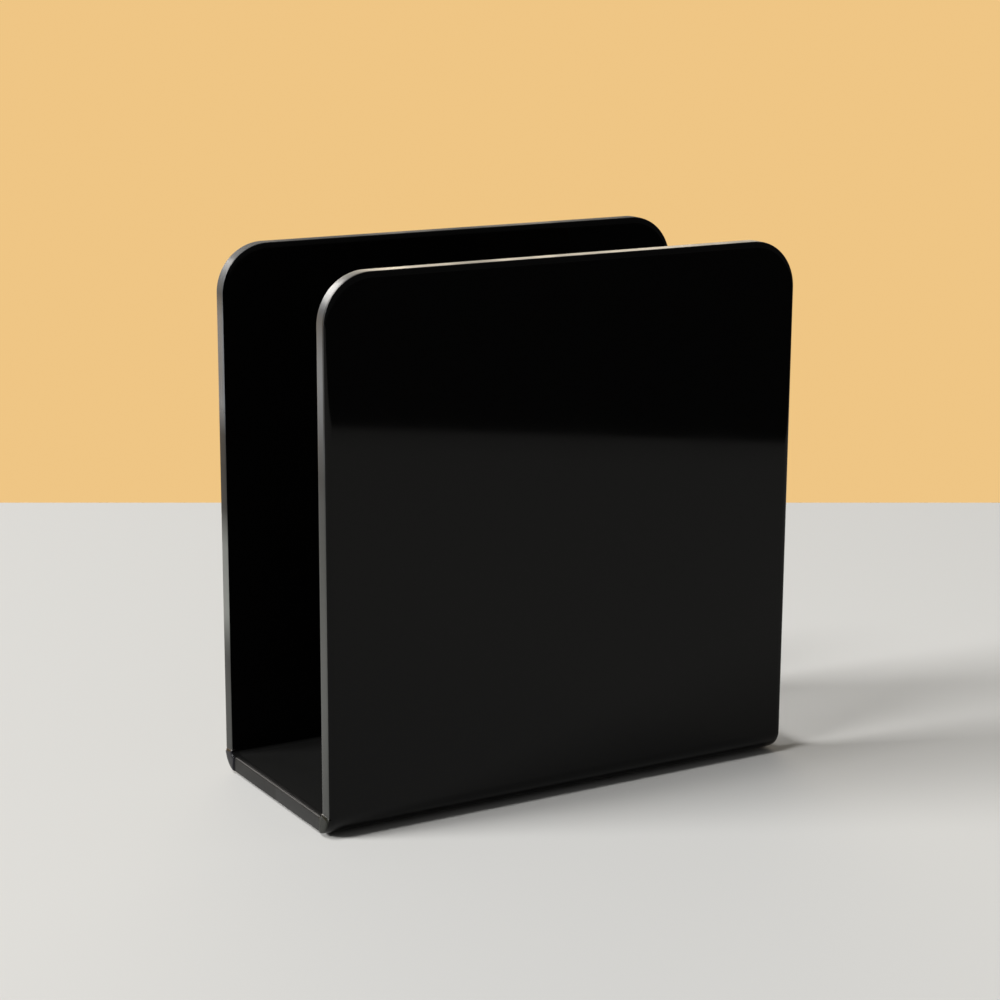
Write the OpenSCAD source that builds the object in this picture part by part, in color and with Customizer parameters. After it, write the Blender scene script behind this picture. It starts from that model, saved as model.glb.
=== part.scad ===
// Napkin holder bent from one sheet of black acrylic: a flat base and two
// upright panels with rounded top corners, standing on four thin pads.
// X runs along the napkins, Y across them and Z up. The origin is the middle
// of the footprint, on the table. Lengths are in millimetres.

/* [Sheet] */
// Width of the sheet, along the napkins
sheet_w = 150; // [100:1:220]
// Height of the panels above the underside of the base
sheet_h = 154; // [80:1:240]
// Depth over the outsides of the two panels
sheet_d = 68.5; // [50:0.5:120]
// Thickness of the sheet
sheet_t = 5; // [3:0.5:8]
// Radius of the rounded top corners
corner_r = 14; // [4:1:30]

/* [Bends] */
// Radius on the inside of the two bends
bend_r = 1.6; // [0.8:0.2:4]
// How far the heated bends spread out past the scraped ends
swell_h = 0.4; // [0.1:0.05:0.8]
// The same at the outside of the bends on the right, where they draw in
swell_right_outer = 0.05; // [0.05:0.05:0.8]
// How far that spread runs on along the flats beside each bend
swell_run = 0.4; // [0.2:0.1:3]

/* [Pads] */
// Diameter of the stick-on pads
pad_d = 10; // [6:0.5:16]
// Thickness of the pads, which is the gap under the base
pad_t = 0.5; // [0.4:0.1:2]
// Gap from the cut ends of the base to the rims of the pads
pad_end_gap = 8; // [3:1:35]
// Gap from where the bends start to the rims of the pads
pad_bend_gap = 2; // [0:0.5:6]

/* [Hidden] */
$fn = 96;
overrun = 1;

// The bends are quarter rings about two lines along X
bend_outer_r = bend_r + sheet_t;
bend_y = sheet_d / 2 - bend_outer_r;
bend_z = pad_t + bend_outer_r;
sheet_top = pad_t + sheet_h;

pad_x = sheet_w / 2 - pad_end_gap - pad_d / 2;
pad_y = bend_y - pad_bend_gap - pad_d / 2;

// One upright panel, from its bend to above the top, on the +Y side
module panel_strip(width) {
    translate([-width / 2, sheet_d / 2 - sheet_t, bend_z])
        cube([width, sheet_t, sheet_top - bend_z]);
}

// One quarter bend on the +Y side, as a ring turned about the X axis
module bend_strip(width) {
    translate([-width / 2, bend_y, bend_z])
        rotate([0, 90, 0])
            rotate_extrude(angle = 90)
                translate([bend_r, 0])
                    square([sheet_t, width]);
}

// The flat strip between the two bends
module base_strip(width) {
    translate([-width / 2, -bend_y, pad_t])
        cube([width, 2 * bend_y, sheet_t]);
}

// The bent section with square ends, before the corners are rounded
module bent_section(width) {
    base_strip(width);
    for (side = [0, 1]) {
        mirror([0, side, 0]) {
            bend_strip(width);
            panel_strip(width);
        }
    }
}

// The front view of the sheet: square below, rounded at the top corners
module front_outline() {
    corner_x = sheet_w / 2 - corner_r;
    translate([-sheet_w / 2, 0])
        square([sheet_w, sheet_top - corner_r]);
    translate([-corner_x, 0])
        square([2 * corner_x, sheet_top]);
    for (side = [-1, 1]) {
        translate([side * corner_x, sheet_top - corner_r])
            circle(r = corner_r);
    }
}

// The heated sheet cut through its thickness, from end to end: the inside
// of the bend is at bend_r, and Y here runs along the bend
module heated_outline() {
    left = -sheet_w / 2 - swell_h;
    polygon([
        [bend_r, left],
        [bend_outer_r, left],
        [bend_outer_r, sheet_w / 2 + swell_right_outer],
        [bend_r, sheet_w / 2 + swell_h]
    ]);
}

// The heated strip on the +Y side: the bend and a little of each flat,
// which spread out past the ends of the sheet
module heated_strip() {
    translate([0, bend_y, bend_z]) {
        rotate([0, 90, 0])
            rotate_extrude(angle = 90)
                heated_outline();
        rotate([0, 90, 0])
            rotate([90, 0, 0])
                linear_extrude(swell_run)
                    heated_outline();
        mirror([1, -1, 0])
            linear_extrude(swell_run)
                heated_outline();
    }
}

module bent_acrylic_sheet() {
    color([0.04, 0.04, 0.045]) {
        intersection() {
            bent_section(sheet_w);
            translate([0, sheet_d / 2 + overrun, 0])
                rotate([90, 0, 0])
                    linear_extrude(sheet_d + 2 * overrun)
                        front_outline();
        }
        for (side = [0, 1]) {
            mirror([0, side, 0])
                heated_strip();
        }
    }
}

// A pad under the base, at the corner that the two signs give
module pad(x_side, y_side) {
    color([0.16, 0.16, 0.17])
        translate([x_side * pad_x, y_side * pad_y, 0])
            cylinder(h = pad_t, d = pad_d);
}

module front_left_pad() pad(-1, -1);
module front_right_pad() pad(1, -1);
module rear_left_pad() pad(-1, 1);
module rear_right_pad() pad(1, 1);

bent_acrylic_sheet();
front_left_pad();
front_right_pad();
rear_left_pad();
rear_right_pad();
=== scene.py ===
"""Napkin holder bent from a sheet of glossy black acrylic, on four thin grip pads.

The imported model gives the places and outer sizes, in metres. X runs along the napkins, Y across
them and Z up.
"""

import math

import bmesh
import bpy
from mathutils import Euler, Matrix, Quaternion, Vector


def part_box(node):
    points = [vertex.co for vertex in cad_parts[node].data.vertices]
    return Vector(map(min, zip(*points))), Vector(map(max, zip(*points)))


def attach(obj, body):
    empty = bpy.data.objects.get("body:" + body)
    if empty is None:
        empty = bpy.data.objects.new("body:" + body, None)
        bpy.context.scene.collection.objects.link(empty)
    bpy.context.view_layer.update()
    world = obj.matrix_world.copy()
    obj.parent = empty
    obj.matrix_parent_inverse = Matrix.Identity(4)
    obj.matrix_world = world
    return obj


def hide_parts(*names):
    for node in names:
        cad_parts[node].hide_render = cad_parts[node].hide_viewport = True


bl_info = {
    "name": "Napkin Holder",
    "version": (1, 0, 0),
    "blender": (4, 5, 0),
    "location": "3D View > Sidebar > Napkin Holder",
    "description": "Models a bent acrylic napkin holder, its grip pads and a plain studio",
    "category": "Add Mesh",
}

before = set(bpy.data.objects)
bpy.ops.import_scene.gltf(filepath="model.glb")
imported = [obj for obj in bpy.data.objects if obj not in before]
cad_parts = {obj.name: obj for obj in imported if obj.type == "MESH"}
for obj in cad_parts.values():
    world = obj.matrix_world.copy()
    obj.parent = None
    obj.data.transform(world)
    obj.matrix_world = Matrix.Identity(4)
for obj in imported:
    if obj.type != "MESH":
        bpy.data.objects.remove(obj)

BODY = "root"
SHEET_NODE = "bent_acrylic_sheet"
PAD_NODES = ("front_left_pad", "front_right_pad", "rear_left_pad", "rear_right_pad")
MM = 0.001

SHEET_LOW, SHEET_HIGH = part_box(SHEET_NODE)
PAD_LOW, PAD_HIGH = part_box(PAD_NODES[0])
RAISED_END = 0.4 * MM

LEFT = -1
RIGHT = 1
FRONT = -1
REAR = 1

QUARTER_TURN = math.radians(90)
# Places closer than this count as one
TOUCH = 0.01 * MM
# The part of a normal along an axis, when it counts as facing that way or as square to it
FACING = 0.9
SQUARE = 0.01
# The share of a rim's reach that counts as part of the cut end
END_SHARE = 0.3
# Weight of the large flats in the shading: 50 is neutral and 100 the most
FLAT_WEIGHT = 100
# Half the depth within which a face counts as the top of the base
BASE_BAND = 1 * MM

ACRYLIC_IOR = 1.49
RUBBER_IOR = 1.52


class SheetProperties(bpy.types.PropertyGroup):
    """Sizes of the bent sheet."""

    width: bpy.props.FloatProperty(
        name="Width",
        description="Width between the scraped ends",
        default=SHEET_HIGH.x - SHEET_LOW.x - 2 * RAISED_END,
        unit="LENGTH",
    )
    depth: bpy.props.FloatProperty(
        name="Depth",
        description="Depth over the outsides of the panels",
        default=SHEET_HIGH.y - SHEET_LOW.y,
        unit="LENGTH",
    )
    bottom: bpy.props.FloatProperty(
        name="Underside",
        description="Height of the underside of the base above the table",
        default=SHEET_LOW.z,
        unit="LENGTH",
    )
    top: bpy.props.FloatProperty(
        name="Top",
        description="Height of the top edges above the table",
        default=SHEET_HIGH.z,
        unit="LENGTH",
    )
    thickness: bpy.props.FloatProperty(
        name="Thickness",
        description="Thickness of the sheet",
        default=5 * MM,
        unit="LENGTH",
    )
    bend_radius: bpy.props.FloatProperty(
        name="Bend radius",
        description="Radius on the inside of the bends",
        default=1.6 * MM,
        unit="LENGTH",
    )
    corner_radius: bpy.props.FloatProperty(
        name="Corner radius",
        description="Radius of the rounded top corners",
        default=14 * MM,
        unit="LENGTH",
    )
    raised_end: bpy.props.FloatProperty(
        name="Raised end",
        description="How far the heated bends spread out past the scraped ends",
        default=RAISED_END,
        unit="LENGTH",
    )
    raised_from_base: bpy.props.IntProperty(
        name="Raised end, from the base",
        description="Bend steps between the base and the raised end",
        default=1,
        min=0,
    )
    raised_to_panel: bpy.props.IntProperty(
        name="Raised end, to the panel",
        description="Bend steps between the raised end and the panel",
        default=2,
        min=0,
    )
    raised_slope: bpy.props.IntProperty(
        name="Raised end, slope",
        description="Bend steps over which the raised end reaches its full height",
        default=2,
        min=1,
    )
    raised_least: bpy.props.FloatProperty(
        name="Raised end, least",
        description="Its height at its borders and on the outside of the right bends",
        default=0.05 * MM,
        unit="LENGTH",
    )
    rim_width: bpy.props.FloatProperty(
        name="Rim width",
        description="How much of the thickness each rolled-over rim of a cut edge takes",
        default=0.6 * MM,
        unit="LENGTH",
    )
    rim_reach: bpy.props.FloatProperty(
        name="Rim reach",
        description="How far that rim reaches over the face",
        default=2 * MM,
        unit="LENGTH",
    )
    rim_steps: bpy.props.IntProperty(
        name="Rim steps",
        description="Faces across each rim",
        default=6,
        min=3,
    )
    crown_width: bpy.props.FloatProperty(
        name="Crown width",
        description="Width over which a cut edge rounds off inside its rims",
        default=0.9 * MM,
        unit="LENGTH",
    )
    crown_drop: bpy.props.FloatProperty(
        name="Crown drop",
        description="How far a cut edge rounds off inside its rims",
        default=0.04 * MM,
        unit="LENGTH",
    )
    sliver: bpy.props.FloatProperty(
        name="Sliver",
        description="Width of the strip that the scraper missed along the front edge",
        default=1.1 * MM,
        unit="LENGTH",
    )
    bend_steps: bpy.props.IntProperty(
        name="Bend steps",
        description="Faces round each bend",
        default=24,
        min=8,
    )
    corner_steps: bpy.props.IntProperty(
        name="Corner steps",
        description="Faces round each top corner",
        default=32,
        min=8,
    )


class PadProperties(bpy.types.PropertyGroup):
    """Sizes of the grip pads."""

    rim_radius: bpy.props.FloatProperty(
        name="Rim radius",
        description="Rounding of the rim that meets the table",
        default=0.15 * MM,
        unit="LENGTH",
    )
    rim_steps: bpy.props.IntProperty(
        name="Rim steps",
        description="Faces across the rounding of that rim",
        default=4,
        min=1,
    )
    ring_width: bpy.props.FloatProperty(
        name="Ring width",
        description="Width of the flat ring round the shallow dish underneath",
        default=1.2 * MM,
        unit="LENGTH",
    )
    dish_slope: bpy.props.FloatProperty(
        name="Dish slope",
        description="Width of the sloping side of that dish",
        default=0.32 * MM,
        unit="LENGTH",
    )
    dish_depth: bpy.props.FloatProperty(
        name="Dish depth",
        description="Depth of the shallow dish underneath",
        default=0.08 * MM,
        unit="LENGTH",
    )
    sides: bpy.props.IntProperty(
        name="Sides",
        description="Faces round a pad",
        default=64,
        min=16,
    )


class FinishProperties(bpy.types.PropertyGroup):
    """Colours and gloss of the materials."""

    face_colour: bpy.props.FloatVectorProperty(
        name="Polished faces",
        description="Colour below the gloss of the faces",
        subtype="COLOR",
        size=3,
        default=(0.0022, 0.0022, 0.0022),
    )
    dust_colour: bpy.props.FloatVectorProperty(
        name="Haze",
        description="Colour of the fine haze on the top of the base",
        subtype="COLOR",
        size=3,
        default=(0.0125, 0.0125, 0.012),
    )
    cut_colour: bpy.props.FloatVectorProperty(
        name="Scraped edges",
        description="Colour of the scraped edges where they are lightest",
        subtype="COLOR",
        size=3,
        default=(0.126, 0.136, 0.149),
    )
    low_cut_colour: bpy.props.FloatVectorProperty(
        name="Scraped edges, low down",
        description="The same in the lower half, where they are a little yellower",
        subtype="COLOR",
        size=3,
        default=(0.131, 0.1355, 0.1255),
    )
    heated_colour: bpy.props.FloatVectorProperty(
        name="Heated ends",
        description="Colour of the raised ends of the bends",
        subtype="COLOR",
        size=3,
        default=(0.0077, 0.0083, 0.0055),
    )
    rubber_colour: bpy.props.FloatVectorProperty(
        name="Pad rubber",
        description="Colour of the grip pads",
        subtype="COLOR",
        size=3,
        default=(0.045, 0.045, 0.047),
    )
    face_gloss: bpy.props.FloatProperty(
        name="Gloss of the faces",
        description="Specular level of the polished faces",
        default=0.145,
        subtype="FACTOR",
        min=0,
        max=1,
    )
    cut_gloss: bpy.props.FloatProperty(
        name="Gloss of the scraped edges",
        description="Specular level of the scraped edges",
        default=0.32,
        subtype="FACTOR",
        min=0,
        max=1,
    )
    heated_gloss: bpy.props.FloatProperty(
        name="Gloss of the heated ends",
        description="Specular level of the heated ends",
        default=0.2,
        subtype="FACTOR",
        min=0,
        max=1,
    )
    face_roughness: bpy.props.FloatProperty(
        name="Roughness of the faces",
        description="Roughness of the polished faces",
        default=0.03,
        subtype="FACTOR",
        min=0,
        max=1,
    )
    cut_roughness: bpy.props.FloatProperty(
        name="Roughness of the edges",
        description="Least roughness of the scraped edges",
        default=0.24,
        subtype="FACTOR",
        min=0,
        max=1,
    )
    heated_roughness: bpy.props.FloatProperty(
        name="Roughness of the heated ends",
        description="Least roughness of the heated ends",
        default=0.18,
        subtype="FACTOR",
        min=0,
        max=1,
    )
    rubber_roughness: bpy.props.FloatProperty(
        name="Roughness of the pads",
        description="Least roughness of the pad rubber",
        default=0.7,
        subtype="FACTOR",
        min=0,
        max=1,
    )


class StageProperties(bpy.types.PropertyGroup):
    """The studio: floor, backdrop, lamps and camera."""

    floor_colour: bpy.props.FloatVectorProperty(
        name="Floor",
        description="Colour of the floor",
        subtype="COLOR",
        size=3,
        default=(0.690, 0.683, 0.660),
    )
    floor_size: bpy.props.FloatProperty(
        name="Size of the floor",
        description="Length of each side of the floor",
        default=8.0,
        unit="LENGTH",
    )
    floor_roughness: bpy.props.FloatProperty(
        name="Roughness of the floor",
        description="Roughness of both floors",
        default=0.9,
        subtype="FACTOR",
        min=0,
        max=1,
    )
    backdrop_colour: bpy.props.FloatVectorProperty(
        name="Backdrop",
        description="Colour of the backdrop",
        subtype="COLOR",
        size=3,
        default=(0.863, 0.562, 0.233),
    )
    backdrop_distance: bpy.props.FloatProperty(
        name="Backdrop distance",
        description="Distance from the object to the backdrop, away from the camera",
        default=0.3255,
        unit="LENGTH",
    )
    backdrop_heading: bpy.props.FloatProperty(
        name="Heading of the backdrop",
        description="Direction of the backdrop, from +Y towards +X",
        default=math.radians(29.03),
        unit="ROTATION",
    )
    backdrop_height: bpy.props.FloatProperty(
        name="Backdrop height",
        description="Height of the backdrop",
        default=0.3,
        unit="LENGTH",
    )
    backdrop_width: bpy.props.FloatProperty(
        name="Backdrop width",
        description="Width of the backdrop",
        default=4.0,
        unit="LENGTH",
    )
    mirrored_height: bpy.props.FloatProperty(
        name="Mirrored height",
        description="How much of that height the object mirrors, under brighter surroundings",
        default=0.185,
        unit="LENGTH",
    )
    floor_edge: bpy.props.FloatProperty(
        name="Front edge of the floor",
        description="Where the pale floor ends in the reflections on the front face",
        default=0.515,
        unit="LENGTH",
    )
    floor_turn: bpy.props.FloatProperty(
        name="Turn of the front edge",
        description="How far that edge is turned from the front panel",
        default=math.radians(37.9),
        unit="ROTATION",
    )
    dark_colour: bpy.props.FloatVectorProperty(
        name="Beyond the floor",
        description="Colour that the front face mirrors beyond that edge",
        subtype="COLOR",
        size=3,
        default=(0.02, 0.02, 0.02),
    )
    dark_length: bpy.props.FloatProperty(
        name="Length of the dark floor",
        description="Its length away from the object, the fade included",
        default=3.0,
        unit="LENGTH",
    )
    dark_lift: bpy.props.FloatProperty(
        name="Lift of the dark floor",
        description="Its height above the pale floor",
        default=0.5 * MM,
        unit="LENGTH",
    )
    dark_fade: bpy.props.FloatProperty(
        name="Fade of the dark floor",
        description="Length over which its edge first darkens",
        default=60 * MM,
        unit="LENGTH",
    )
    dark_blur: bpy.props.FloatProperty(
        name="Blur of the dark floor",
        description="Half the length over which its edge turns dark",
        default=6 * MM,
        unit="LENGTH",
    )
    fade_share: bpy.props.FloatProperty(
        name="Share of the fade",
        description="How much of the darkening is in the fade",
        default=0.15,
        subtype="FACTOR",
        min=0,
        max=1,
    )
    key_light: bpy.props.FloatProperty(
        name="Key light",
        description="Share of the light on the floor that the key lamp gives",
        default=0.43,
        subtype="FACTOR",
    )
    key_turn: bpy.props.FloatProperty(
        name="Turn of the key lamp",
        description="Its direction, from +Y towards -X",
        default=math.radians(75.4),
        unit="ROTATION",
    )
    key_height: bpy.props.FloatProperty(
        name="Height of the key lamp",
        description="Its angle above the horizon",
        default=math.radians(23.4),
        unit="ROTATION",
    )
    key_width: bpy.props.FloatProperty(
        name="Width of the key lamp",
        description="Its longer, level diameter",
        default=2.3,
        unit="LENGTH",
    )
    key_depth: bpy.props.FloatProperty(
        name="Depth of the key lamp",
        description="Its shorter, upright diameter",
        default=1.1,
        unit="LENGTH",
    )
    fill_light: bpy.props.FloatProperty(
        name="Fill light",
        description="Share of the light on the floor that the high lamp gives",
        default=0.43,
        subtype="FACTOR",
    )
    fill_turn: bpy.props.FloatProperty(
        name="Turn of the fill lamp",
        description="Its direction, from +Y towards -X",
        default=math.radians(96),
        unit="ROTATION",
    )
    fill_height: bpy.props.FloatProperty(
        name="Height of the fill lamp",
        description="Its angle above the horizon",
        default=math.radians(60),
        unit="ROTATION",
    )
    fill_width: bpy.props.FloatProperty(
        name="Width of the fill lamp",
        description="Its diameter",
        default=1.9,
        unit="LENGTH",
    )
    lamp_distance: bpy.props.FloatProperty(
        name="Lamp distance",
        description="Distance of the key and fill lamps",
        default=6.0,
        unit="LENGTH",
    )
    window_light: bpy.props.FloatProperty(
        name="Window",
        description="Brightness of the window that the corners mirror, where white is 1",
        default=13.0,
    )
    window_tint: bpy.props.FloatVectorProperty(
        name="Tint of the window",
        description="Colour of the window",
        subtype="COLOR",
        size=3,
        default=(1.0, 0.96, 0.91),
    )
    window_turn: bpy.props.FloatProperty(
        name="Turn of the window",
        description="Direction of the window, from +Y towards -X",
        default=math.radians(14),
        unit="ROTATION",
    )
    window_height: bpy.props.FloatProperty(
        name="Height of the window",
        description="Angle of the window above the horizon",
        default=math.radians(24),
        unit="ROTATION",
    )
    window_distance: bpy.props.FloatProperty(
        name="Window distance",
        description="Distance of the window from the corner",
        default=0.9,
        unit="LENGTH",
    )
    window_width: bpy.props.FloatProperty(
        name="Width of the window",
        description="Width of the window",
        default=0.48,
        unit="LENGTH",
    )
    window_length: bpy.props.FloatProperty(
        name="Length of the window",
        description="Upright size of the window",
        default=0.32,
        unit="LENGTH",
    )
    bright_sky: bpy.props.FloatProperty(
        name="Bright side",
        description="Brightness of the surroundings behind the object",
        default=3.0,
    )
    dim_sky: bpy.props.FloatProperty(
        name="Dim side",
        description="Brightness of the surroundings in front of the object",
        default=0.115,
    )
    sky_tint: bpy.props.FloatVectorProperty(
        name="Tint of the bright side",
        description="Colour of the brightest surroundings",
        subtype="COLOR",
        size=3,
        default=(1.0, 0.88, 0.70),
    )
    sky_turn: bpy.props.FloatProperty(
        name="Turn of the bright side",
        description="Direction of the brightest surroundings, from +Y towards -X",
        default=math.radians(-25),
        unit="ROTATION",
    )
    sky_height: bpy.props.FloatProperty(
        name="Height of the bright side",
        description="Angle of the brightest surroundings above the horizon",
        default=math.radians(12),
        unit="ROTATION",
    )
    sky_reach: bpy.props.FloatProperty(
        name="Reach of the bright side",
        description="Cosine of the angle at which the surroundings turn dim",
        default=0.88,
        subtype="FACTOR",
        min=0,
        max=1,
    )
    camera_place: bpy.props.FloatVectorProperty(
        name="Camera",
        description="Place of the camera",
        default=(-0.35356, -0.60297, 0.24714),
        subtype="TRANSLATION",
        size=3,
    )
    camera_heading: bpy.props.FloatProperty(
        name="Heading",
        description="Heading of the camera, from +Y towards +X",
        default=math.radians(30.218),
        unit="ROTATION",
    )
    camera_dip: bpy.props.FloatProperty(
        name="Dip",
        description="How far the camera looks down",
        default=math.radians(13.500),
        unit="ROTATION",
    )
    camera_roll: bpy.props.FloatProperty(
        name="Roll",
        description="Turn of the camera about its line of sight",
        default=math.radians(0.279),
        unit="ROTATION",
    )
    lens: bpy.props.FloatProperty(
        name="Lens",
        description="Focal length in millimetres",
        default=89.459,
    )
    nearest: bpy.props.FloatProperty(
        name="Nearest",
        description="Distance at which the camera begins to see",
        default=0.01,
        unit="LENGTH",
    )


def deselect_all():
    """Leaves edit mode and selects nothing."""
    if bpy.context.object and bpy.context.object.mode != "OBJECT":
        bpy.ops.object.mode_set(mode="OBJECT")
    bpy.ops.object.select_all(action="DESELECT")


def start_editing(piece):
    """Goes into edit mode, where faces are picked first."""
    bpy.context.view_layer.objects.active = piece
    piece.select_set(True)
    bpy.ops.object.mode_set(mode="EDIT")
    bpy.ops.mesh.select_mode(type="FACE")


def pick_faces(piece, wanted):
    """Selects the faces whose centre and normal are wanted, and no others."""
    shape = bmesh.from_edit_mesh(piece.data)
    shape.normal_update()
    bpy.ops.mesh.select_all(action="DESELECT")
    shown = [f for f in shape.faces if not f.hide]
    chosen = [f for f in shown if wanted(f.calc_center_median(), f.normal)]
    if not chosen:
        raise RuntimeError(f"{piece.name}: no face is in the place that was asked for")
    for face in chosen:
        face.select_set(True)
    bmesh.update_edit_mesh(piece.data)


def pick_edges(piece, wanted):
    """Selects the edges whose two ends are wanted, and no others."""
    shape = bmesh.from_edit_mesh(piece.data)
    bpy.ops.mesh.select_all(action="DESELECT")
    chosen = [e for e in shape.edges if all(wanted(v.co) for v in e.verts)]
    if not chosen:
        raise RuntimeError(f"{piece.name}: no edge is in the place that was asked for")
    for edge in chosen:
        edge.select_set(True)
    bmesh.update_edit_mesh(piece.data)


def extrude_by(x, y, z):
    """Extrudes the selected faces along a vector."""
    bpy.ops.mesh.extrude_region_move(TRANSFORM_OT_translate={"value": (x, y, z)})


def near(a, b):
    """True for two coordinates in the same place."""
    return abs(a - b) < TOUCH


def settle(piece):
    """Puts a finished piece's place in its mesh."""
    deselect_all()
    piece.select_set(True)
    bpy.context.view_layer.objects.active = piece
    bpy.ops.object.transform_apply(location=True, rotation=True, scale=True)


def smooth(piece):
    """Smooths the shading while the large flats stay flat."""
    deselect_all()
    piece.select_set(True)
    bpy.context.view_layer.objects.active = piece
    bpy.ops.object.shade_smooth()
    bpy.ops.object.modifier_add(type="WEIGHTED_NORMAL")
    piece.modifiers[-1].weight = FLAT_WEIGHT
    bpy.ops.object.modifier_apply(modifier=piece.modifiers[-1].name)


def model_sheet(sizes, materials):
    """Folds the sheet up from its base, as it is bent in the workshop."""
    drop = sizes.rim_reach + sizes.crown_drop
    half_width = sizes.width / 2 - drop
    half_depth = sizes.depth / 2
    outer_radius = sizes.bend_radius + sizes.thickness
    bend_y = half_depth - outer_radius
    bend_z = sizes.bottom + outer_radius
    top = sizes.top - drop

    deselect_all()
    bpy.ops.mesh.primitive_cube_add(
        size=1,
        location=(0, 0, sizes.bottom + sizes.thickness / 2),
        scale=(2 * half_width, 2 * bend_y, sizes.thickness),
    )
    sheet = bpy.context.object
    sheet.name = "bent_sheet"
    for material in materials:
        sheet.data.materials.append(material)
    settle(sheet)
    start_editing(sheet)

    for side in (FRONT, REAR):
        pick_faces(sheet, lambda at, normal: near(at.y, side * bend_y))
        bpy.ops.mesh.spin(
            steps=sizes.bend_steps,
            angle=-side * QUARTER_TURN,
            center=(0, side * bend_y, bend_z),
            axis=(1, 0, 0),
        )
        extrude_by(0, 0, top - bend_z)

    bpy.ops.mesh.select_mode(type="EDGE")
    for side in (FRONT, REAR):
        for end in (LEFT, RIGHT):
            pick_edges(
                sheet,
                lambda at: near(at.z, top) and near(at.x, end * half_width) and at.y * side > 0,
            )
            bpy.ops.mesh.bevel(
                offset=sizes.corner_radius - drop,
                segments=sizes.corner_steps,
                profile=0.5,
            )

    bpy.ops.mesh.select_mode(type="FACE")
    crown_cut_edges(sheet, sizes)
    raise_bend_ends(sheet, sizes, bend_y, bend_z)
    bpy.ops.object.mode_set(mode="OBJECT")
    smooth(sheet)
    return sheet


def on_cut_edge(at, normal):
    """True on the ends, the corners and the top edges, which a saw has cut."""
    return abs(normal.y) < SQUARE and (abs(normal.x) > SQUARE or at.z > SHEET_HIGH.z / 2)


def crown_cut_edges(sheet, sizes):
    """Rolls the rims of the cut edges over, and rounds the edges a little between."""
    pick_faces(sheet, on_cut_edge)
    turns = [QUARTER_TURN * step / sizes.rim_steps for step in range(sizes.rim_steps + 1)]
    for turn, next_turn in zip(turns, turns[1:]):
        if next_turn == turns[-1]:
            assign_finish(sheet, "scraped_edge")
        bpy.ops.mesh.inset(
            thickness=sizes.rim_width * (math.cos(turn) - math.cos(next_turn)),
            depth=sizes.rim_reach * (math.sin(next_turn) - math.sin(turn)),
        )
    bpy.ops.mesh.inset(thickness=sizes.crown_width, depth=sizes.crown_drop)


def assign_finish(piece, finish):
    """Gives the selected faces one of the piece's materials."""
    piece.active_material_index = piece.data.materials.find(finish)
    bpy.ops.object.material_slot_assign()


def raise_bend_ends(sheet, sizes, bend_y, bend_z):
    """Pushes the ends of the bends out, where the heated plastic spread."""
    end_x = sizes.width / 2 - END_SHARE * sizes.rim_reach
    raised_x = sizes.width / 2 + sizes.raised_end / 4
    step = QUARTER_TURN / sizes.bend_steps
    first = step * sizes.raised_from_base
    last = QUARTER_TURN - step * sizes.raised_to_panel

    def turn(at):
        """How far round its bend a point is, from the base."""
        return math.atan2(abs(at.y) - bend_y, bend_z - at.z)

    def height(at, end):
        """How far the bend stands out there. On the right it fades towards the outside."""
        rise = min(turn(at) - first, last - turn(at)) / (step * sizes.raised_slope)
        depth = math.hypot(abs(at.y) - bend_y, at.z - bend_z) - sizes.bend_radius
        share = 1 - depth / sizes.thickness if end == RIGHT else 1
        return max(sizes.raised_least, sizes.raised_end * min(1, rise) * share)

    for end in (LEFT, RIGHT):
        pick_faces(
            sheet,
            lambda at, normal: at.x * end > end_x and first < turn(at) < last,
        )
        extrude_by(end * sizes.raised_end, 0, 0)
        bpy.ops.mesh.hide(unselected=True)
        pick_faces(
            sheet,
            lambda at, normal: abs(normal.x) > FACING or at.x * end > raised_x,
        )
        assign_finish(sheet, "heated_end")
        draw_along_x(sheet, lambda at: end * (height(at, end) - sizes.raised_end))
        bpy.ops.mesh.reveal(select=False)


def draw_along_x(sheet, distance):
    """Moves each shown vertex along X by its own distance, those that share one together."""

    def rounded(vertex):
        """The vertex's distance to the nearest thousandth of a millimetre, in millimetres."""
        return round(distance(vertex.co) / MM, 3)

    shape = bmesh.from_edit_mesh(sheet.data)
    bpy.ops.mesh.select_mode(type="VERT")
    rows = {rounded(v) for v in shape.verts if not v.hide}
    for row in sorted(rows):
        shape = bmesh.from_edit_mesh(sheet.data)
        for vertex in shape.verts:
            vertex.select_set(not vertex.hide and rounded(vertex) == row)
        bmesh.update_edit_mesh(sheet.data)
        bpy.ops.transform.translate(value=(row * MM, 0, 0))
    bpy.ops.mesh.select_mode(type="FACE")


def model_pad(sizes, low, high):
    """A die-cut disc with a rounded lower rim and a shallow dish underneath."""
    middle = (low + high) / 2
    radius = (high.x - low.x) / 2
    deselect_all()
    bpy.ops.mesh.primitive_cylinder_add(
        vertices=sizes.sides,
        radius=radius,
        depth=high.z - low.z,
        location=middle,
    )
    pad = bpy.context.object
    settle(pad)
    start_editing(pad)
    pick_faces(pad, lambda at, normal: normal.z < -FACING)
    bpy.ops.mesh.inset(thickness=sizes.ring_width, depth=0)
    bpy.ops.mesh.inset(thickness=sizes.dish_slope, depth=-sizes.dish_depth)
    bpy.ops.mesh.select_mode(type="EDGE")
    rim = radius - sizes.rim_radius
    pick_edges(pad, lambda at: near(at.z, low.z) and (at.xy - middle.xy).length > rim)
    bpy.ops.mesh.bevel(offset=sizes.rim_radius, segments=sizes.rim_steps, profile=0.5)
    bpy.ops.object.mode_set(mode="OBJECT")
    return pad


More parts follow.
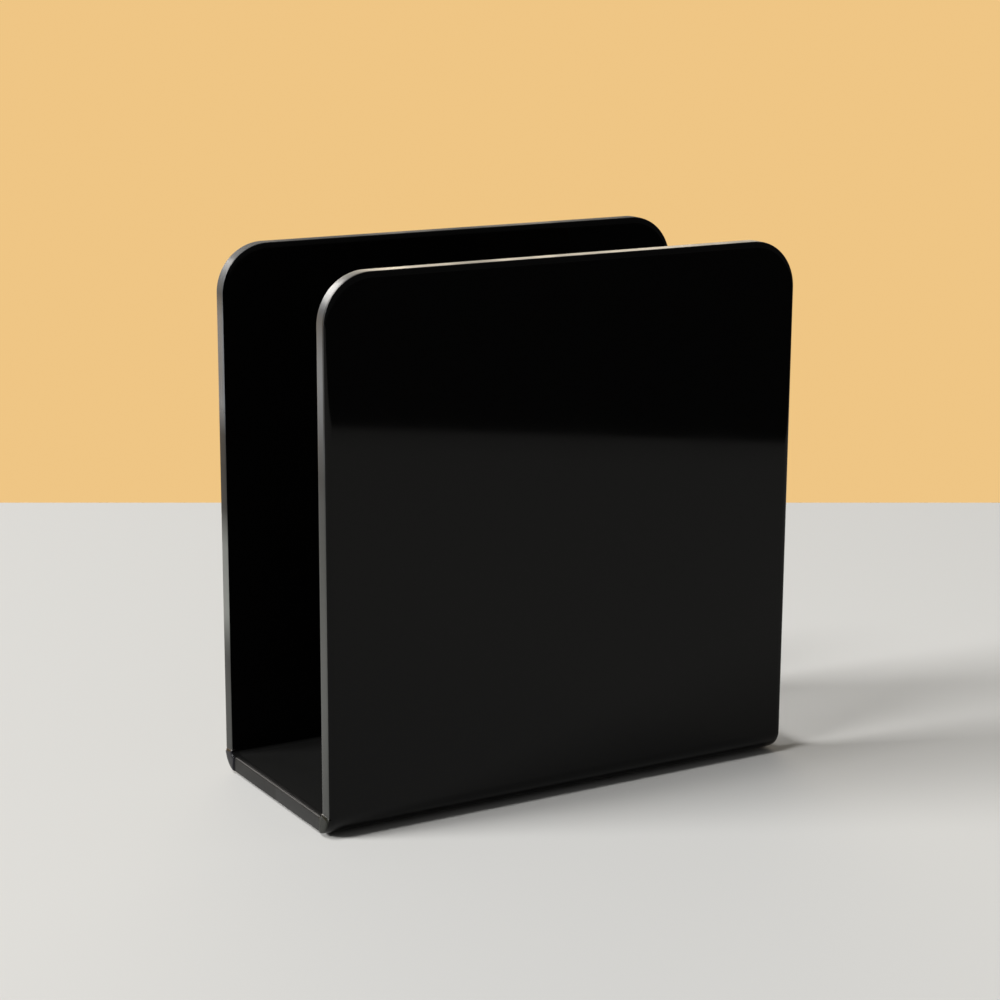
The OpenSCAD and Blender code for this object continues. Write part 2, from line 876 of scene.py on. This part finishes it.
class Formula:
    """A shader value. Each sum or product that is written with it adds its Math node."""

    def __init__(self, finish, socket):
        self.finish = finish
        self.socket = socket

    def math(self, operation, other):
        """A Math node with this value first."""
        return self.finish.node("ShaderNodeMath", {"operation": operation}, {0: self, 1: other})

    def swapped(self, operation, other):
        """A Math node with this value second."""
        return self.finish.node("ShaderNodeMath", {"operation": operation}, {0: other, 1: self})

    def __add__(self, other):
        return self.math("ADD", other)

    __radd__ = __add__

    def __mul__(self, other):
        return self.math("MULTIPLY", other)

    __rmul__ = __mul__

    def __sub__(self, other):
        return self.math("SUBTRACT", other)

    def __rsub__(self, other):
        return self.swapped("SUBTRACT", other)

    def __gt__(self, other):
        return self.math("GREATER_THAN", other)

    def __lt__(self, other):
        return self.math("LESS_THAN", other)


class Finish:
    """A node tree, with one method that adds any node to it."""

    def __init__(self, tree):
        self.tree = tree
        tree.nodes.clear()

    def node(self, kind, settings=None, values=None, output=0):
        """Adds a node with its settings and its sockets' values or links."""
        made = self.tree.nodes.new(kind)
        for name, value in (settings or {}).items():
            if name == "stops":
                set_stops(made.color_ramp, value)
            else:
                setattr(made, name, value)
        for name, value in (values or {}).items():
            if isinstance(value, Formula):
                self.tree.links.new(value.socket, made.inputs[name])
            else:
                made.inputs[name].default_value = value
        if not made.outputs:
            return None
        return Formula(self, made.outputs[output])

    def place(self):
        """The point on the piece, and its x, y and z."""
        point = self.node("ShaderNodeTexCoord", output="Object")
        split = "ShaderNodeSeparateXYZ"
        return point, [self.node(split, {}, {0: point}, output=axis) for axis in "XYZ"]

    def noise(self, point, scale, detail=2, stretch=(1, 1, 1)):
        """Noise about a half, whose grain is scale per metre, drawn out along an axis."""
        stretched = self.node(
            "ShaderNodeMapping",
            {"vector_type": "POINT"},
            {"Vector": point, "Scale": [scale * share for share in stretch]},
        )
        return self.node(
            "ShaderNodeTexNoise",
            {"noise_dimensions": "3D"},
            {"Vector": stretched, "Scale": 1.0, "Detail": detail},
        )

    def blend(self, share, first, second):
        """From the first colour to the second."""
        return self.node(
            "ShaderNodeMix",
            {"data_type": "RGBA"},
            {0: share, 6: first, 7: second},
            output=2,
        )

    def ramp(self, value, stops):
        """The tone at a value, from stops of position and tone."""
        return self.node("ShaderNodeValToRGB", {"stops": stops}, {0: value})

    def rise(self, value, start, end):
        """0 up to start, 1 from end on, and smooth between."""
        return self.node(
            "ShaderNodeMapRange",
            {"interpolation_type": "SMOOTHSTEP"},
            {"Value": value, "From Min": start, "From Max": end},
        )

    def bump(self, height, strength, distance, normal=None):
        """The normal, the piece's own or another, tilted by the slope of a height."""
        values = {"Height": height, "Strength": strength, "Distance": distance}
        if normal:
            values["Normal"] = normal
        return self.node("ShaderNodeBump", {}, values)

    def lay_flat(self, share, direction):
        """The normal, turned to a direction where share is 1."""
        normal = self.node("ShaderNodeNewGeometry", output="Normal")
        return self.node(
            "ShaderNodeMix",
            {"data_type": "VECTOR"},
            {0: share, 4: normal, 5: direction},
            output=1,
        )

    def surface(self, values, kind="ShaderNodeBsdfPrincipled"):
        """Ends the tree with one shader."""
        shader = self.node(kind, {}, values)
        self.node("ShaderNodeOutputMaterial", {}, {"Surface": shader})


def set_stops(ramp, stops):
    """Fills a ramp with (position, grey or colour) stops."""
    while len(ramp.elements) < len(stops):
        ramp.elements.new(1.0)
    for element, (position, tone) in zip(ramp.elements, stops):
        element.position = position
        element.color = (tone, tone, tone, 1) if isinstance(tone, float) else (*tone, 1)


def new_material(name):
    """An empty material and its node tree."""
    material = bpy.data.materials.new(name)
    material.use_nodes = True
    return material, Finish(material.node_tree)


def opaque(colour):
    """The colour with the alpha that a socket wants."""
    return (*colour, 1)


def polished_acrylic(sizes, finishes):
    """Mirror-bright faces, with faint wiping marks and a fine haze on the base."""
    material, finish = new_material("polished_acrylic")
    point, (x, y, z) = finish.place()
    base_top = sizes.bottom + sizes.thickness
    inside = sizes.depth / 2 - sizes.thickness
    on_base = (z > base_top - BASE_BAND) * (z < base_top + BASE_BAND)
    on_base = on_base * (y > -inside) * (y < inside)
    flat_x = sizes.width / 2 - sizes.rim_reach
    base_rim = on_base * ((x < -flat_x) + (x > flat_x))
    dust = finish.noise(point, scale=90, detail=4)
    haze = on_base * (0.75 + 0.5 * dust) * (1 - 0.7 * base_rim)
    wiping = finish.noise(point, scale=35, detail=3, stretch=(1, 1, 0.4))
    waves = finish.noise(point, scale=14, detail=1)
    above_bend = z > base_top + sizes.bend_radius
    inner_rim = above_bend * (x < -flat_x) * (y > 0) * (y < inside + sizes.rim_width)
    # The flat black face runs right up to the scraped edge there
    normal = finish.lay_flat(inner_rim, (0, FRONT, 0))
    # What the wiping marks, the haze and its rim add to the roughness
    roughness = finishes.face_roughness + 0.04 * wiping + 0.25 * on_base + 0.14 * base_rim
    finish.surface(
        {
            "Base Color": finish.blend(
                haze, opaque(finishes.face_colour), opaque(finishes.dust_colour)
            ),
            "Roughness": roughness,
            "IOR": ACRYLIC_IOR,
            "Specular IOR Level": finishes.face_gloss,
            "Normal": finish.bump(waves, strength=0.3, distance=0.05 * MM, normal=normal),
        }
    )
    return material


# Where the upright edges are lighter, partly from the scraper's passes and partly as painted
# sheen of the
# surroundings they reflect: height as a share of the whole, and the share of the lightest colour
FRONT_PASSES_AND_SHEEN = (
    (0.08, 0.200),
    (0.16, 0.240),
    (0.25, 0.290),
    (0.33, 0.285),
    (0.42, 0.235),
    (0.51, 0.175),
    (0.60, 0.145),
    (0.65, 0.085),
    (0.70, 0.230),
    (0.75, 0.500),
    (0.81, 0.740),
    (0.86, 0.690),
    (0.92, 0.360),
)
REAR_PASSES_AND_SHEEN = (
    (0.07, 0.170),
    (0.15, 0.165),
    (0.22, 0.110),
    (0.25, 0.280),
    (0.31, 0.950),
    (0.37, 0.930),
    (0.44, 0.820),
    (0.51, 0.020),
    (0.59, 0.000),
    (0.65, 0.040),
    (0.71, 0.700),
    (0.76, 0.640),
    (0.82, 0.750),
    (0.87, 0.690),
    (0.91, 0.250),
    (0.94, 0.350),
    (0.97, 0.080),
    (0.99, 0.200),
)


def scraped_edge(sizes, finishes):
    """Satin edges with fine lines left along them by the scraper."""
    material, finish = new_material("scraped_edge")
    point, (_, y, z) = finish.place()
    lines = finish.noise(point, scale=2600, detail=3, stretch=(0.02, 1, 0.02))
    patches = finish.noise(point, scale=60, detail=2, stretch=(1, 0.3, 1))
    # A share of the whole height, as in the lighter bands above
    height = z * (1 / sizes.top)
    on_rear = y > 0
    # Tone by height: the scraper's passes together with painted sheen
    front_tone = finish.ramp(height, FRONT_PASSES_AND_SHEEN)
    tone = finish.blend(on_rear, front_tone, finish.ramp(height, REAR_PASSES_AND_SHEEN))
    base_top = sizes.bottom + sizes.thickness
    on_base = z < base_top
    on_top = height > 0.985
    worn = finish.rise(height, start=0.965, end=0.980)
    glossy = finish.rise(height, start=0.66, end=0.70)
    glossy = glossy * (1 - finish.rise(height, start=0.89, end=0.92))
    arris = (z > base_top - sizes.rim_width) * on_base
    colour = finish.blend(
        finish.rise(height, start=0.5, end=0.7),
        opaque(finishes.low_cut_colour),
        opaque(finishes.cut_colour),
    )
    # What the lines, the patches, the arris and the wear at the rear add to the roughness
    roughness = finishes.cut_roughness + 0.12 * lines + 0.1 * patches + 0.4 * arris
    roughness = roughness + 0.5 * (patches - 0.5) * on_top
    roughness = roughness + on_rear * (0.1 + 0.2 * worn - 0.2 * glossy)
    # High up, the outermost strip of the front panel's edge stays dark
    sliver = (y < sizes.sliver - sizes.depth / 2) * finish.rise(height, start=0.68, end=0.74)
    tone = tone * (1 - 0.9 * on_base) * (1 - 0.8 * sliver)
    tone = tone * (0.7 + 0.4 * lines + 0.2 * patches)
    finish.surface(
        {
            "Base Color": finish.blend(tone, opaque((0, 0, 0)), colour),
            "Roughness": roughness,
            "IOR": ACRYLIC_IOR,
            "Specular IOR Level": finishes.cut_gloss,
            "Normal": finish.bump(lines, strength=0.25, distance=0.02 * MM),
        }
    )
    return material


def heated_end(sizes, finishes):
    """The bend ends: smoother than the scraped edges, a little rippled, with painted shade that
    makes the rear ones darker and bluer.
    """
    material, finish = new_material("heated_end")
    point, (_, y, _) = finish.place()
    ripples = finish.noise(point, scale=420, detail=2, stretch=(1, 1, 0.5))
    front = finishes.heated_colour
    # Painted shade: the rear ends get a darker, bluer copy of the front ends' colour
    rear = (0.3 * front[0], 0.3 * front[1], 0.9 * front[2])
    finish.surface(
        {
            "Base Color": finish.blend(y > 0, opaque(front), opaque(rear)),
            "Roughness": finishes.heated_roughness + 0.12 * ripples,
            "IOR": ACRYLIC_IOR,
            "Specular IOR Level": finishes.heated_gloss,
            "Normal": finish.bump(ripples, strength=0.3, distance=0.05 * MM),
        }
    )
    return material


def pad_rubber(finishes):
    """Matt rubber with a fine grain."""
    material, finish = new_material("grip_pad_rubber")
    point, _ = finish.place()
    grain = finish.noise(point, scale=4000, detail=3)
    mottle = finish.noise(point, scale=500, detail=2)
    darker = [0.7 * c for c in finishes.rubber_colour]
    lighter = [1.3 * c for c in finishes.rubber_colour]
    finish.surface(
        {
            "Base Color": finish.blend(mottle, opaque(darker), opaque(lighter)),
            "Roughness": finishes.rubber_roughness + 0.2 * grain,
            "IOR": RUBBER_IOR,
            "Normal": finish.bump(grain, strength=0.5, distance=0.04 * MM),
        }
    )
    return material


class OBJECT_OT_bent_sheet(bpy.types.Operator):
    """Model the bent sheet and give it its three finishes"""

    bl_idname = "object.bent_sheet"
    bl_label = "Bent Sheet"
    bl_options = {"REGISTER", "UNDO"}

    def execute(self, context):
        sizes = context.scene.holder_sheet
        finishes = context.scene.holder_finishes
        materials = [
            polished_acrylic(sizes, finishes),
            scraped_edge(sizes, finishes),
            heated_end(sizes, finishes),
        ]
        sheet = model_sheet(sizes, materials)
        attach(sheet, BODY)
        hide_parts(SHEET_NODE)
        return {"FINISHED"}


class OBJECT_OT_grip_pads(bpy.types.Operator):
    """Model one grip pad and copy it to the other corners"""

    bl_idname = "object.grip_pads"
    bl_label = "Grip Pads"
    bl_options = {"REGISTER", "UNDO"}

    def execute(self, context):
        rubber = pad_rubber(context.scene.holder_finishes)
        first = model_pad(context.scene.holder_pads, PAD_LOW, PAD_HIGH)
        first.data.materials.append(rubber)
        smooth(first)
        pads = [first]
        for node in PAD_NODES[1:]:
            deselect_all()
            first.select_set(True)
            bpy.ops.object.duplicate(linked=False)
            pad = context.selected_objects[0]
            pad.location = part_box(node)[0] - PAD_LOW
            settle(pad)
            pads.append(pad)
        for pad, node in zip(pads, PAD_NODES):
            pad.name = node.replace("_pad", "_grip_pad")
            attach(pad, BODY)
            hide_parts(node)
        return {"FINISHED"}


def add_floor(stage):
    """The pale floor, and the dark one that only reflections see, in front of it."""
    deselect_all()
    bpy.ops.mesh.primitive_plane_add(size=stage.floor_size, location=(0, 0, 0))
    floor = bpy.context.object
    floor.name = "floor"
    material, finish = new_material("pale_floor")
    pale = opaque(stage.floor_colour)
    matt = {"Roughness": stage.floor_roughness, "Specular IOR Level": 0.0}
    finish.surface({"Base Color": pale, **matt})
    floor.data.materials.append(material)

    away = Vector((math.sin(stage.floor_turn), -math.cos(stage.floor_turn), 0))
    edge = stage.floor_edge
    start = edge - stage.dark_fade
    bpy.ops.mesh.primitive_plane_add(
        size=1,
        location=away * (start + stage.dark_length / 2) + Vector((0, 0, stage.dark_lift)),
        rotation=(0, 0, stage.floor_turn),
    )
    dark = bpy.context.object
    dark.scale = (2 * stage.dark_length, stage.dark_length, 1)
    dark.name = "dark_floor"
    settle(dark)
    for kind in ("camera", "diffuse", "shadow", "transmission", "volume_scatter"):
        setattr(dark, "visible_" + kind, False)
    material, finish = new_material("dark_floor")
    _, (x, y, _) = finish.place()
    reach = away.x * x + away.y * y
    blur = stage.dark_blur
    shade = stage.fade_share * finish.rise(reach, start, edge)
    shade = shade + (1 - stage.fade_share) * finish.rise(reach, edge - blur, edge + blur)
    colour = finish.blend(shade, pale, opaque(stage.dark_colour))
    finish.surface({"Base Color": colour, **matt})
    dark.data.materials.append(material)


def add_backdrop(stage):
    """A pale backdrop behind the object, seen from its front alone."""
    turn = stage.backdrop_heading
    heading = Vector((math.sin(turn), math.cos(turn), 0))
    height = stage.backdrop_height
    deselect_all()
    bpy.ops.mesh.primitive_plane_add(
        size=1,
        location=heading * stage.backdrop_distance + Vector((0, 0, height / 2)),
        rotation=(QUARTER_TURN, 0, -turn),
    )
    backdrop = bpy.context.object
    backdrop.scale = (stage.backdrop_width, height, 1)
    backdrop.name = "backdrop"
    settle(backdrop)
    backdrop.visible_diffuse = False
    backdrop.visible_shadow = False
    material, finish = new_material("pale_backdrop")
    _, (_, _, z) = finish.place()
    behind = finish.node("ShaderNodeNewGeometry", output="Backfacing")
    mirrored = finish.node("ShaderNodeLightPath", output="Is Glossy Ray")
    shown = (1 - behind) * (1 - mirrored * (z > stage.mirrored_height))
    clear = finish.node("ShaderNodeBsdfTransparent")
    pale = finish.node("ShaderNodeEmission", {}, {"Color": opaque(stage.backdrop_colour)})
    finish.surface({0: shown, 1: clear, 2: pale}, "ShaderNodeMixShader")
    backdrop.data.materials.append(material)


def towards(turn, height):
    """The direction that is turned left of +Y by turn and raised by height."""
    level = math.cos(height)
    return Vector((-math.sin(turn) * level, math.cos(turn) * level, math.sin(height)))


def add_lamp(name, kind, aim, direction, distance, power, size, size_y=0):
    """An area lamp that faces the aim from a direction."""
    deselect_all()
    bpy.ops.object.light_add(type="AREA", location=aim + direction * distance)
    lamp = bpy.context.object
    lamp.name = name
    lamp.rotation_euler = direction.to_track_quat("Z", "Y").to_euler()
    lamp.data.shape = kind
    lamp.data.size = size
    if size_y:
        lamp.data.size_y = size_y
    lamp.data.energy = power
    lamp.visible_camera = False
    return lamp


def lamp_power(share, direction, distance):
    """The power of an area lamp that gives the floor a share of the light that white needs."""
    return math.pi**2 * share * distance**2 / direction.z


def add_lamps(stage):
    """A low key lamp, a high fill lamp and a window that the corners mirror."""
    middle = Vector((0, 0, 0))
    distance = stage.lamp_distance
    direction = towards(stage.key_turn, stage.key_height)
    power = lamp_power(stage.key_light, direction, distance)
    key_size = (stage.key_width, stage.key_depth)
    add_lamp("key_lamp", "ELLIPSE", middle, direction, distance, power, *key_size)

    direction = towards(stage.fill_turn, stage.fill_height)
    power = lamp_power(stage.fill_light, direction, distance)
    fill = add_lamp("fill_lamp", "DISK", middle, direction, distance, power, stage.fill_width)
    fill.visible_glossy = False

    corner = Vector((SHEET_LOW.x, SHEET_LOW.y, SHEET_HIGH.z))
    direction = towards(stage.window_turn, stage.window_height)
    # The window itself is then as bright as window_light
    power = math.pi * stage.window_light * stage.window_width * stage.window_length
    window = add_lamp(
        "window",
        "RECTANGLE",
        corner,
        direction,
        stage.window_distance,
        power,
        stage.window_width,
        stage.window_length,
    )
    window.data.color = stage.window_tint
    window.visible_diffuse = False


def add_world(stage):
    """Fill light that is brighter behind the object and dim in front of it."""
    world = bpy.data.worlds.new("studio")
    bpy.context.scene.world = world
    world.use_nodes = True
    finish = Finish(world.node_tree)
    direction = finish.node("ShaderNodeTexCoord", output="Generated")
    brightest = towards(stage.sky_turn, stage.sky_height)
    facing = finish.node(
        "ShaderNodeVectorMath",
        {"operation": "DOT_PRODUCT"},
        {0: direction, 1: brightest},
        output="Value",
    )
    share = finish.node("ShaderNodeMapRange", {}, {"Value": facing, "From Min": stage.sky_reach})
    seen = finish.node("ShaderNodeLightPath", output="Is Camera Ray")
    bright = [stage.bright_sky * c for c in stage.sky_tint]
    light = finish.blend(share, opaque([stage.dim_sky] * 3), opaque(bright))
    shown = finish.blend(seen, light, opaque(stage.backdrop_colour))
    shader = finish.node("ShaderNodeBackground", {}, {"Color": shown})
    finish.node("ShaderNodeOutputWorld", {}, {"Surface": shader})


def add_camera(stage):
    """The camera of the photograph."""
    deselect_all()
    bpy.ops.object.camera_add(location=stage.camera_place)
    camera = bpy.context.object
    camera.name = "camera"
    aim = Euler((QUARTER_TURN - stage.camera_dip, 0, -stage.camera_heading)).to_quaternion()
    roll = Quaternion((0, 0, 1), stage.camera_roll)
    camera.rotation_euler = (aim @ roll).to_euler()
    camera.data.lens = stage.lens
    camera.data.clip_start = stage.nearest
    bpy.context.scene.camera = camera


class OBJECT_OT_studio(bpy.types.Operator):
    """Set up the floor, backdrop, lamps, world and camera"""

    bl_idname = "object.studio"
    bl_label = "Studio"
    bl_options = {"REGISTER", "UNDO"}

    def execute(self, context):
        stage = context.scene.holder_stage
        add_floor(stage)
        add_backdrop(stage)
        add_lamps(stage)
        add_world(stage)
        add_camera(stage)
        context.scene.view_settings.view_transform = "Standard"
        return {"FINISHED"}


class VIEW3D_PT_napkin_holder(bpy.types.Panel):
    """Lists the pieces and their sizes"""

    bl_idname = "VIEW3D_PT_napkin_holder"
    bl_label = "Napkin Holder"
    bl_space_type = "VIEW_3D"
    bl_region_type = "UI"
    bl_category = "Napkin Holder"

    def draw(self, context):
        groups = (
            (context.scene.holder_sheet, "object.bent_sheet"),
            (context.scene.holder_pads, "object.grip_pads"),
            (context.scene.holder_finishes, None),
            (context.scene.holder_stage, "object.studio"),
        )
        for group, operator in groups:
            box = self.layout.box()
            for name in group.__annotations__:
                box.prop(group, name)
            if operator:
                box.operator(operator)


CLASSES = (
    SheetProperties,
    PadProperties,
    FinishProperties,
    StageProperties,
    OBJECT_OT_bent_sheet,
    OBJECT_OT_grip_pads,
    OBJECT_OT_studio,
    VIEW3D_PT_napkin_holder,
)
GROUPS = {
    "holder_sheet": SheetProperties,
    "holder_pads": PadProperties,
    "holder_finishes": FinishProperties,
    "holder_stage": StageProperties,
}


def register():
    for made in CLASSES:
        bpy.utils.register_class(made)
    for name, group in GROUPS.items():
        setattr(bpy.types.Scene, name, bpy.props.PointerProperty(type=group))


def unregister():
    for name in GROUPS:
        delattr(bpy.types.Scene, name)
    for made in reversed(CLASSES):
        bpy.utils.unregister_class(made)


def main():
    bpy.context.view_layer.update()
    register()
    bpy.ops.object.bent_sheet()
    bpy.ops.object.grip_pads()
    bpy.ops.object.studio()


if __name__ == "__main__":
    main()
